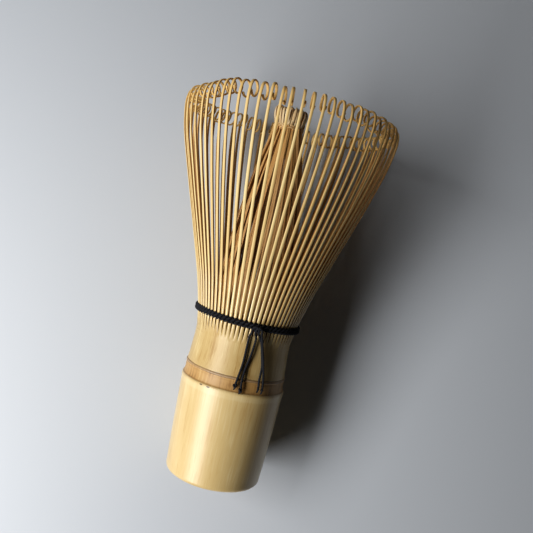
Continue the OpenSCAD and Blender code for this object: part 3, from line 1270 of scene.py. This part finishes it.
@dataclass
class OuterTines:
    """The 72 outer tines, in 24 groups, each from the neck up to its curl."""

    hinge_height: float = 50.45
    thread_low: float = 47.9
    thread_width: float = 0.87
    width: float = 0.86
    tip_width: float = 0.74
    root_thick: float = 0.66
    tip_thick: float = 0.4
    root_angle: float = 13.0
    # A strip is a trace wider than its pitch, so that no light shows through.
    overlap: float = 1.002
    # The width is even above the first height, and narrows to the tip over the next two.
    even_from: float = 60.0
    narrows: tuple[float, float] = (88.0, 108.0)
    # How much closer together each group's tips are drawn, and over which heights.
    gathered: float = 0.05
    gathers: tuple[float, float] = (56.0, 84.0)
    # How far curls sink on the side that was leant on, how far out, and how high up.
    droop: float = 1.7
    leant_on: tuple[float, float] = (14.0, 30.0)
    sinks: tuple[float, float] = (84.0, 107.0)
    # Where a blend from the neck to a group's own body would start and end.
    bends: tuple[float, float] = (50.0, 75.0)
    curl_steps: int = 20
    slits: tuple[float, ...] = (43.6, 44.9, 44.1, 44.6, 43.9, 45.2)
    # The curl's radius, turn and sideways slide, and what the tine has in length.
    curls: tuple[tuple[float, float, float, float], ...] = (
        (2.05, 318, 0.55, 0.0), (1.95, 330, 0.7, 0.3), (2.12, 305, 0.42, -0.2),
        (2.0, 322, 0.3, 0.1), (2.1, 296, 0.62, -0.35), (1.9, 335, 0.5, 0.25),
    )
    lower: Profile = (
        (14.055, 43.0), (14.06, 43.6), (14.09, 44.2), (14.2, 44.9), (14.31, 45.5),
        (14.42, 46.2), (14.56, 47.0), (14.69, 47.9), (14.74, 48.7), (14.85, 49.4),
        (15.05, 49.95),
    )
    start: tuple[float, float] = (15.25, 50.53)

    def width_at(self, height: float, radius: float, slit: float) -> float:
        """Works out how wide a strip is at a height.

        Args:
            height: The height.
            radius: How far its outer face is from the axis.
            slit: Where it parts from its neighbours.

        Returns:
            The width, which is the whole pitch below the slit.
        """
        full = 2 * radius * math.tan(TINE_PITCH / 2) * self.overlap
        if height <= slit:
            return full
        if height < self.thread_low:
            share = (height - slit) / (self.thread_low - slit)
            return full + (self.thread_width - full) * share**0.8
        if height < self.even_from:
            share = smooth_step(self.thread_low, self.even_from, height)
            return self.thread_width + (self.width - self.thread_width) * share
        return self.width + (self.tip_width - self.width) * smooth_step(*self.narrows, height)

    def settle(self, point: Vector, middle: float) -> None:
        """Lowers the curls on one side, and draws each group's tips together.

        The side at -X was leant on. The groups' tips clear each other when all are closed.

        Args:
            point: A point of the group, in metres, which is moved.
            middle: The angle of the group's middle.
        """
        height = point.z / MM
        drop = smooth_step(*self.leant_on, -point.x / MM) * smooth_step(*self.sinks, height)
        point.z -= self.droop * drop * MM
        off = math.remainder(math.atan2(point.y, point.x) - middle, math.tau)
        angle = middle + off * (1 - self.gathered * smooth_step(*self.gathers, point.z / MM))
        radius = math.hypot(point.x, point.y)
        point.x, point.y = radius * math.cos(angle), radius * math.sin(angle)

    def shape(self, number: int) -> Piece:
        """Makes one kind of tine.

        Args:
            number: Which of the kinds.

        Returns:
            The loose strip.
        """
        slit = self.slits[number]
        curl, turn, slide, longer = self.curls[number]
        strip = Strip()
        for radius, height in self.lower:
            width = self.width_at(height, radius + self.root_thick / 2, slit)
            bevel = smooth_step(slit, slit + 1.6, height)
            strip.add(radius, height, width, self.root_thick, bevel=bevel)
        strip.add(*self.start, self.thread_width, self.root_thick)
        stretches = (
            (14, -5.2, 5), (18.9 + longer, 0, 3), (16, 3.2, 4), (9.9, 8.5, 4), (3.5, 20, 3)
        )
        body = walk(self.start, self.root_angle, stretches)
        # The body has turned by 26.5 degrees where the curl starts.
        bent = [(math.radians(turn) * curl, turn, self.curl_steps)]
        ring = walk(body[-1], self.root_angle - 26.5, bent)
        count = len(body) + len(ring)
        for i, (radius, height) in enumerate([*body, *ring]):
            thinned = min(1, i / count * 1.6)
            thick = self.root_thick + (self.tip_thick - self.root_thick) * thinned
            round_share = max(0.0, (i - len(body)) / self.curl_steps)
            # The first stretch still narrows from the thread, and the rest is even.
            above = max(height, self.even_from) if i > stretches[0][2] else height
            width = self.width_at(above, radius, slit)
            if i >= len(body):
                width = self.tip_width - 0.06 * round_share
            strip.add(radius, height, width, thick, slide * smooth_step(0.1, 1, round_share))
        return strip.build(f"outer_tine_kind_{number}", self.hinge_height)

    def build(self) -> None:
        """Builds the 24 groups, each a piece of its own in place of its CAD node."""
        ring = RingOfStrips()
        kinds = len(self.curls)
        common = {
            "Strips": collect("outer_tine_kinds", [self.shape(k) for k in range(kinds)]),
            "Kinds": kinds, "Count": TINES_IN_GROUP, "Pitch": TINE_PITCH,
            "Root Height": 50.4 * MM, "Length": 60 * MM, "Sway": 0.3 * MM,
            "Reach": 0.3 * MM, "Finish": TINE_FINISH.make(),
        }
        whole = TINE_PITCH * TINES_IN_GROUP
        for group in range(1, TINE_GROUPS + 1):
            own = {"First Angle": whole * (group - 1), "Seed": 11 + group}
            piece = grow(ring.tree, f"tine_group_{group:02d}", {**common, **own})
            for vertex in piece.data.vertices:
                self.settle(vertex.co, whole * (group - 0.5))
            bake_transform(piece)
            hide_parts(f"outer_tines_{group:02d}")


@dataclass
class InnerTines:
    """The inner tines: strips split from the wall's inner layer and drawn together."""

    crown: float = 45.2
    thick: float = 0.5
    way: Profile = (
        (11.5, 50.8), (10.95, 58), (10.3, 66), (9.45, 75), (8.35, 84), (6.9, 93),
        (5.35, 100), (4.35, 104.5), (4.0, 106.9),
    )
    # Width, sideways bow and spacing of the three strands of each kind.
    kinds: tuple[tuple[float, float, float], ...] = (
        (0.5, 0.3, 0.56), (0.44, -0.5, 0.53), (0.54, 0.15, 0.58), (0.36, -0.65, 0.52),
        (0.42, 0.7, 0.55),
    )

    def shape(self, number: int) -> Piece:
        """Makes one kind of inner tine.

        Args:
            number: Which of the kinds.

        Returns:
            The loose strands.
        """
        width, bow, gap = self.kinds[number]
        name = f"inner_tine_kind_{number}"
        path = rounded(self.way, 3.4)
        parts = []
        for side in (-1, 0, 1):
            strip = Strip()
            for radius, height in path:
                share = (height - INNER_ROOT) / (path[-1][1] - INNER_ROOT)
                slide = bow * math.sin(math.pi * share) * (1 + 0.3 * side)
                # Near the root the strands still fill the ring, edge to edge.
                packed = 1 - smooth_step(0.02, 0.3, share)
                slide += side * (gap * (1.05 - 0.75 * share**2) * (1 - packed) + 0.64 * packed)
                full = width * (1 - 0.12 * side) * (1 - packed) + 0.7 * packed
                deep = self.thick * (1.2 - 0.3 * share)
                strip.add(radius + 0.16 * side * share, height, full, deep, slide)
            parts.append(strip.build(f"{name}_{side}", INNER_ROOT))
        return join(name, parts, loose=True)

    def crown_shape(self) -> Piece:
        """Makes the root of an inner tine, between the neck and the thread.

        Returns:
            The loose strip.
        """
        strip = Strip()
        for radius, height, width in (
            (12.2, self.crown - 0.6, 2.14), (12.1, 46.0, 2.12), (11.95, 47.2, 2.1),
            (11.75, 48.6, 2.04), (11.6, 49.8, 2.0), (11.5, INNER_ROOT, 1.95),
        ):
            strip.add(radius, height, width, 0.9 - 0.055 * (height - self.crown))
        return strip.build("inner_root_kind", INNER_ROOT - 8)

    def build(self) -> None:
        """Builds the crown and the six groups of strips."""
        ring = RingOfStrips()
        common = {"Pitch": INNER_PITCH, "Root Height": INNER_ROOT * MM}
        finish = INNER_FINISH.make()
        roots = {
            "Strips": collect("inner_root_kinds", [self.crown_shape()]), "Kinds": 1,
            "Count": INNER_GROUPS * INNER_IN_GROUP, "Length": 60 * MM, "Seed": 5,
            "Finish": ROOTS_PAINTED_SHADE_FINISH.make(),
        }
        crown = grow(ring.tree, "inner_crown", {**common, **roots})
        place(crown, Slot.INNER, ["inner_roots"])
        kinds = len(self.kinds)
        common |= {
            "Strips": collect("inner_tine_kinds", [self.shape(k) for k in range(kinds)]),
            "Kinds": kinds, "Count": INNER_IN_GROUP, "Jitter": 0.03, "Length": 56 * MM,
            "Sway": 0.45 * MM, "Reach": 0.25 * MM, "Lean": INNER_LEAN, "Finish": finish,
        }
        for group in range(1, INNER_GROUPS + 1):
            first = INNER_PITCH * INNER_IN_GROUP * (group - 1)
            own = {"First Angle": first, "Seed": 40 + group}
            piece = grow(ring.tree, f"inner_strands_{group:02d}", {**common, **own})
            place(piece, Slot.INNER, [f"inner_tines_{group:02d}"])


@dataclass
class Bundle:
    """The gathered ends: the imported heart, the slivers tied round it, and the bud."""

    tie: float = 106.7
    heart: Profile = (
        (4.3, 98.0), (4.1, 99.5), (3.85, 102), (3.55, 104.5), (3.4, 106.4), (3.3, 107.0)
    )
    # Height, swelling, fold and sideways slide of each kind of tip.
    tips: tuple[tuple[float, float, float, float], ...] = (
        (112.3, 5.05, 1.25, 0.5), (111.9, 4.8, 1.0, -0.4), (112.6, 4.9, 1.5, 0.2),
        (111.4, 4.6, 0.8, -0.8), (112.0, 4.35, 1.3, 0.9),
    )
    # Name, number of strips, reach and seed of each ring of the bud.
    rings: tuple[tuple[str, int, float, int], ...] = (
        ("outer", 54, 0.3, 3), ("inner", 40, 0.45, 9)
    )

    def build(self) -> None:
        """Builds the heart, the bud and the tie."""
        ring = RingOfStrips()
        self.build_heart(INNER_FINISH.make())
        finish = BUD_FINISH.make()
        self.build_bud(ring, finish)
        self.build_tie(finish)

    def build_heart(self, finish: bpy.types.Material) -> None:
        """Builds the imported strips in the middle, under the tie.

        Args:
            finish: The split bamboo.
        """
        around, groove = 72, 0.22
        points = []
        values: dict[str, list[float]] = {"tone": [], "across": [], "along": []}
        for row, (radius, height) in enumerate(self.heart):
            for k in range(around):
                angle = math.tau * k / around
                deep = radius - (groove if k % 3 == 0 else 0.0)
                x = deep * math.cos(angle) + INNER_LEAN * (height - INNER_ROOT)
                points.append((x, deep * math.sin(angle), height))
                own = ((k // 3 * 7 % 12) / 12, (k % 3) - 1.0, 0.3 + 0.1 * row)
                for key, value in zip(values, own):
                    values[key].append(value)
        faces = joined_rows(len(self.heart), around, "capped")
        split = {"split": [0.6] * len(faces)}
        piece = make_piece("bundle_heart", points, faces, values, split)
        place(piece, Slot.INNER, ["bundle_core"], finish)

    def bud_shape(self, number: int) -> Piece:
        """Makes one kind of tip above the tie, spread and folded over at its end.

        Args:
            number: Which of the kinds.

        Returns:
            The loose strip.
        """
        height, swell, fold, slide = self.tips[number]
        way = (
            (3.75, 105.6), (3.95, 106.7), (4.3, 107.9), (swell - 0.12, 109.6),
            (swell, 110.9), (swell - 0.15, height - 0.55), (swell - 0.7, height - 0.05),
            (swell - fold - 0.4, height - 0.35), (swell - fold - 0.6, height - 1.3),
        )
        rows = rounded(way, 0.55)
        strip = Strip()
        for i, (radius, at) in enumerate(rows):
            share = i / (len(rows) - 1)
            width = 0.48 + 0.16 * math.sin(math.pi * min(1, share * 1.2)) - 0.2 * share**3
            strip.add(radius, at, width, 0.4 - 0.18 * share, slide * share**2)
        return strip.build(f"bud_kind_{number}", 105.5)

    def build_bud(self, ring: RingOfStrips, finish: bpy.types.Material) -> None:
        """Builds the spread tips as two rings, one inside the other.

        Args:
            ring: The tree that repeats strips.
            finish: The split bamboo.
        """
        kinds = len(self.tips)
        common = {
            "Strips": collect("bud_kinds", [self.bud_shape(k) for k in range(kinds)]),
            "Kinds": kinds, "First Angle": 0.1, "Jitter": 0.07,
            "Root Height": INNER_ROOT * MM, "Length": 60 * MM, "Sway": 0.35 * MM,
            "Lean": INNER_LEAN, "Finish": finish,
        }
        outer, inner = (
            grow(
                ring.tree,
                f"bud_{name}",
                {
                    **common, "Count": count, "Pitch": math.tau / count,
                    "Reach": reach * MM, "Seed": seed,
                },
            )
            for name, count, reach, seed in self.rings
        )
        # The inner ring is drawn in and a little lower.
        middle = Vector((INNER_LEAN * 58 * MM, 0, 0))
        for vertex in inner.data.vertices:
            vertex.co -= (Vector((vertex.co.x, vertex.co.y, 0)) - middle) * 0.28
            vertex.co.z -= 0.25 * MM
        place(join("bundle_bud", [outer, inner]), Slot.INNER, ["bundle_tips"])

    def build_tie(self, finish: bpy.types.Material) -> None:
        """Builds the slivers that cross round the bundle.

        Args:
            finish: The split bamboo.
        """
        given = {
            "Radius": 4.42 * MM, "Height": self.tie * MM, "Crossings": 5.0,
            "Swing Out": 0.12 * MM, "Swing Up": 0.5 * MM, "Strand": 0.13 * MM,
            "Strands": 3, "Shift": 0.4, "Finish": finish,
        }
        piece = grow(TwinedRound().tree, "bundle_tie", given)
        shift = INNER_LEAN * (self.tie - INNER_ROOT) * MM
        for vertex in piece.data.vertices:
            vertex.co.x += shift
        place(piece, Slot.INNER, ["bundle_slivers"])


@dataclass
class Binding:
    """The black thread: two rounds over the outer tines, one behind them, knot and tails."""

    strand: float = 0.6
    full_strand: float = 0.72
    ply_length: float = 1.5
    tilt: float = -0.026
    crossings: float = 36.0
    knot_at: tuple[float, float, float] = (3.0, -16.6, 48.5)
    # The tails' routes, from the knot down to their ends.
    left: tuple[Route, ...] = (
        (
            (2.1, -16.4, 47.2), (1.7, -15.5, 45.8), (1.7, -14.9, 43.0), (1.7, -15.0, 39.0),
            (1.5, -15.1, 36.4), (1.15, -15.6, 33.8), (0.9, -15.9, 32.0),
        ),
        (
            (3.2, -16.3, 47.1), (3.7, -15.1, 45.6), (3.6, -14.6, 43.2), (3.3, -14.7, 40.4),
            (2.9, -14.8, 38.0), (2.6, -15.0, 36.2), (2.45, -15.5, 33.8), (2.6, -15.8, 31.1),
        ),
    )
    right: tuple[Route, ...] = (
        (
            (4.1, -15.9, 47.1), (5.0, -14.8, 45.6), (5.7, -14.0, 43.6), (6.5, -13.5, 40.6),
            (7.1, -13.4, 38.0), (7.2, -13.7, 35.8), (7.2, -14.0, 33.8), (7.4, -14.1, 32.2),
        ),
        (
            (4.95, -16.0, 47.1), (5.5, -15.2, 45.5), (6.1, -14.6, 43.2), (6.9, -14.1, 40.4),
            (7.6, -13.7, 37.6), (8.1, -13.6, 35.4), (8.4, -13.5, 33.6), (8.6, -13.4, 31.8),
        ),
    )
    # The arcs over the knot, from the left tail to the right one.
    over: tuple[Route, ...] = (
        (
            (2.1, -16.8, 48.1), (2.45, -17.0, 48.75), (3.1, -17.1, 49.05),
            (3.75, -17.0, 48.75), (4.1, -16.6, 48.0),
        ),
        (
            (3.15, -16.75, 48.0), (3.45, -17.0, 48.6), (4.05, -17.12, 48.9),
            (4.65, -17.0, 48.6), (4.95, -16.65, 48.0),
        ),
    )
    # Piece, CAD node, radius, height, swing, strand's radius and shift of each round.
    rounds: tuple[tuple[str, str, float, float, float, float, float], ...] = (
        ("binding_round_lower", "thread_lower", 15.55, 48.64, 0.37, 0.28, 0.0),
        ("binding_round_upper", "thread_upper", 15.55, 49.46, 0.37, 0.28, 1.6),
        ("binding_round_inside", "thread_inner", 13.98, 48.6, 0.12, 0.13, 0.0),
    )

    def build(self) -> None:
        """Builds the tails with their end knots first, then the knot and the rounds."""
        finish = ThreadFinish().make()
        self.build_tails(finish, self.build_end_knots(finish))
        self.build_knot(finish)
        self.build_rounds(finish)

    def ply(self, along: float, angle: float) -> float:
        """The radius of a two-ply strand at a distance and an angle, in millimetres."""
        turned = angle - math.tau * along / self.ply_length
        return self.full_strand / 2 * (0.8 + 0.2 * math.cos(turned) ** 2)

    def build_tails(self, finish: bpy.types.Material, knots: Piece) -> None:
        """Builds two strands, each hanging down on both sides of the knot.

        Args:
            finish: The thread.
            knots: The end knots that go with them. Not used.
        """
        nodes = ("thread_tails_left", "thread_tails_right")
        for number, node in enumerate(nodes):
            route = [*reversed(self.left[number]), *self.over[number], *self.right[number]]
            way = spline(route, 0.16)
            piece = tube(f"thread_strand_{number + 1}", way, self.ply, around=10)
            place(piece, Slot.THREAD, [node], finish)

    def overhand(self, middle: Vector, size: float, name: str, tilt: float) -> Piece:
        """Ties a small knot.

        Args:
            middle: Where it is.
            size: How far across it is.
            name: The object's name.
            tilt: How far it is turned about Z, in degrees.

        Returns:
            The knot, as a closed tube.
        """
        steps = 60
        turn = Matrix.Rotation(math.radians(tilt), 3, "Z") @ Matrix.Rotation(1.35, 3, "X")
        way = []
        for i in range(steps):
            t = math.tau * i / steps
            x = math.sin(t) + 2 * math.sin(2 * t)
            y = math.cos(t) - 2 * math.cos(2 * t)
            # A trefoil 6.6 across is scaled to the size.
            at = Vector((x, y, -1.3 * math.sin(3 * t))) * (size / 6.6)
            way.append(middle + turn @ at)
        radius = self.strand / 2 * min(1.0, size / 1.5)
        return tube(name, way, lambda along, angle: radius, around=8, closed=True)

    def build_end_knots(self, finish: bpy.types.Material) -> Piece:
        """Builds the knots at the ends of the tails, each with a frayed stub.

        Args:
            finish: The thread.

        Returns:
            The piece.
        """
        parts = []
        for number, route in enumerate((*self.left, *self.right)):
            size = 1.15 if number < 2 else 0.85
            middle = Vector(route[-1]) + Vector((0, 0, -0.45))
            parts.append(self.overhand(middle, size, f"end_knot_{number}", 40.0 * number))
            for k in range(3):
                spread = Vector((0.22 * (k - 1) - 0.1, -0.04, -1.25 + 0.12 * k))
                way = spline([middle, middle + spread * 0.5, middle + spread], 0.2)
                parts.append(tube(f"fray_{number}_{k}", way, self.fray, around=6))
        return place(join("tail_end_knots", parts), Slot.THREAD, ["tail_knots"], finish)

    def fray(self, along: float, angle: float) -> float:
        """The radius of a frayed fibre at a distance, in millimetres."""
        return 0.15 * (1 - 0.35 * along)

    def build_knot(self, finish: bpy.types.Material) -> None:
        """Builds the knot over the rounds.

        Args:
            finish: The thread.
        """
        middle = Vector(self.knot_at)
        parts = [
            self.overhand(middle, 1.55, "knot_a", 0),
            self.overhand(middle + Vector((0.5, 0.1, -0.2)), 1.3, "knot_b", 35),
        ]
        place(join("binding_knot", parts), Slot.THREAD, ["thread_knot"], finish)

    def build_rounds(self, finish: bpy.types.Material) -> None:
        """Builds the twisted rounds, which pass in and out between the tines.

        Args:
            finish: The thread.
        """
        tree = TwinedRound().tree
        for name, node, radius, height, swing, strand, shift in self.rounds:
            given = {
                "Radius": radius * MM, "Height": height * MM, "Crossings": self.crossings,
                "Swing Out": swing * MM, "Swing Up": swing * MM, "Strand": strand * MM,
                "Strands": 2, "Shift": shift, "Tilt": self.tilt, "Finish": finish,
            }
            place(grow(tree, name, given), Slot.THREAD, [node])


def main() -> None:
    """Builds the whisk, piece by piece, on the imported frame."""
    logging.basicConfig(level=logging.INFO, format="%(name)s: %(message)s")
    Viewpoint().build()
    Binding().build()
    Culm().build()
    OuterTines().build()
    InnerTines().build()
    Bundle().build()
    Studio().build()


if __name__ == "__main__":
    main()
